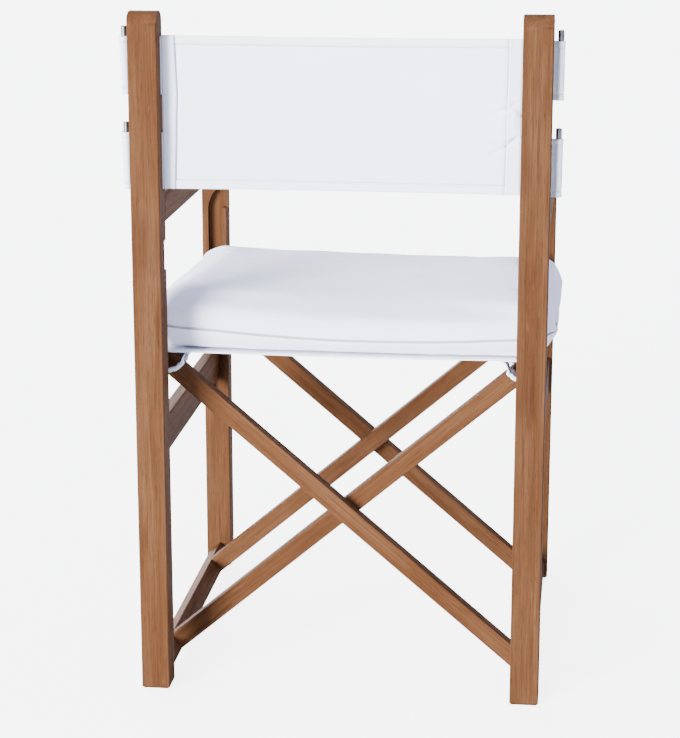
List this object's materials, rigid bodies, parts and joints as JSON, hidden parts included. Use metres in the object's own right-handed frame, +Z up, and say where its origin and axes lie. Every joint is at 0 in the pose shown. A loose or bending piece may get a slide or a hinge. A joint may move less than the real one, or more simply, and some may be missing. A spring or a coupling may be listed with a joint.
{
  "type": "folding director's chair",
  "caption": "Folding director's chair: two wooden side frames with arms, joined by crossed leg frames that slide in grooves, with a canvas sling seat, canvas back on rods and a padded cushion.",
  "frame": {"origin": "on the floor, at the centre of the four feet, with the chair open", "axes": "+Z up, the chair faces -Y, +X is the sitter's left"},
  "size_m": [0.545, 0.513, 0.88],
  "materials": {
    "wood": "oiled mid-brown hardwood, satin",
    "rail_wood": "turned hardwood, oiled",
    "canvas": "heavy plain-weave cotton canvas, off-white, stitched hems",
    "cushion_cover": "soft woven cotton cover, off-white, sewn seams",
    "steel": "plain drawn steel, dull"
  },
  "bodies": {
    "left_frame": {"rear_post_left": "wood", "front_leg_left": "wood", "armrest_left": "wood", "side_rail_left": "wood", "foot_pins_left": "steel", "back_rods_left": "steel", "back_panel": "canvas", "back_loops_left": "canvas"},
    "inner_legs": {"inner_leg_rear": "wood", "inner_leg_front": "wood", "foot_bar_left": "wood", "seat_rail_right": "rail_wood", "cross_pins": "steel", "cross_washers": "steel"},
    "outer_legs": {"outer_leg_rear": "wood", "outer_leg_front": "wood", "foot_bar_right": "wood", "seat_rail_left": "rail_wood"},
    "right_frame": {"rear_post_right": "wood", "front_leg_right": "wood", "armrest_right": "wood", "side_rail_right": "wood", "foot_pins_right": "steel", "back_rods_right": "steel", "back_loops_right": "canvas"},
    "seat": {"seat_sling": "canvas", "seat_sleeve_left": "canvas", "cushion": "cushion_cover"},
    "right_sleeve": {"seat_sleeve_right": "canvas"}
  },
  "joints": [
    {"name": "fold", "type": "hinge", "parent": "left_frame", "child": "inner_legs", "pos_m": [0.239, 0, 0.022], "axis": [0, 1, 0], "range_deg": [0, 17.5], "deforming": ["back_panel", "seat_sling", "cushion"]},
    {"name": "scissor", "type": "hinge", "parent": "inner_legs", "child": "outer_legs", "pos_m": [0, 0, 0.22575], "axis": [0, 1, 0], "range_deg": [-35, 0]},
    {"name": "right_bar", "type": "hinge", "parent": "outer_legs", "child": "right_frame", "pos_m": [-0.239, 0, 0.022], "axis": [0, 1, 0], "range_deg": [0, 17.5]},
    {"name": "seat_turn", "type": "hinge", "parent": "outer_legs", "child": "seat", "pos_m": [0.239, 0, 0.4295], "axis": [0, 1, 0], "range_deg": [0, 17.5]},
    {"name": "right_sleeve_turn", "type": "hinge", "parent": "inner_legs", "child": "right_sleeve", "pos_m": [-0.239, 0, 0.4295], "axis": [0, 1, 0], "range_deg": [-17.5, 0]}
  ],
  "couplings": [
    {"joint": "scissor", "follows": "fold", "ratio": -2},
    {"joint": "right_bar", "follows": "fold", "ratio": 1},
    {"joint": "seat_turn", "follows": "fold", "ratio": 1},
    {"joint": "right_sleeve_turn", "follows": "fold", "ratio": -1}
  ]
}
